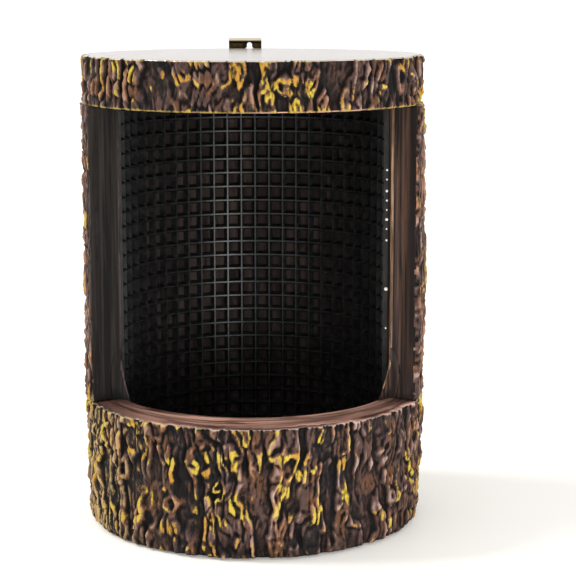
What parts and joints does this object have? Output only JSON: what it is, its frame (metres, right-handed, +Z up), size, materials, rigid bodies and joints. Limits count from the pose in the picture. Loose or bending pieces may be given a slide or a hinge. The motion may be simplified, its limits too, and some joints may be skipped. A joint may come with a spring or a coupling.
{
  "type": "insect hotel",
  "caption": "Bark-faced log-shaped insect hotel with a front window, a climbing lattice round its bore, a lift-off log-slice lid and a keyhole hanger plate.",
  "frame": {"origin": "centre of the log's foot, on the table, in the underside of the middle foot pad", "axes": "+Z up along the log's axis, -Y out of the window, +Y into the wall it hangs on, +X to the right as seen from the front"},
  "size_m": [0.18, 0.188, 0.2568],
  "materials": {
    "bark_resin": "cast resin, stained dark and dry-brushed with gold and lime over sculpted bark; cut faces pinkish brown under satin varnish",
    "floor_resin": "plain cast disc, matt brown",
    "lattice_plastic": "black moulded net, semi-gloss",
    "glue": "set hot-melt beads",
    "hanger_brass": "antiqued dark brass, worn bright on the rolled top edge",
    "insert_brass": "turned threaded insert",
    "screw_steel": "zinc plated",
    "foot_rubber": "self-adhesive pad"
  },
  "bodies": {
    "log": {"base_drum": "bark_resin", "back_wall": "bark_resin", "wall_dowels": "screw_steel", "floor_plate": "floor_resin", "floor_inserts": "insert_brass", "floor_screws": "screw_steel", "foot_pads": "foot_rubber", "liner_uprights": "lattice_plastic", "liner_hoops": "lattice_plastic", "glue_beads": "glue", "hanger_plate": "hanger_brass", "hanger_inserts": "insert_brass", "hanger_screws": "screw_steel", "lid_pegs": "screw_steel"},
    "lid": {"lid_cap": "bark_resin"}
  },
  "joints": [
    {"name": "lid_lift", "type": "slide", "parent": "log", "child": "lid", "axis": [0, 0, 1], "range_m": [0, 0.06]}
  ]
}
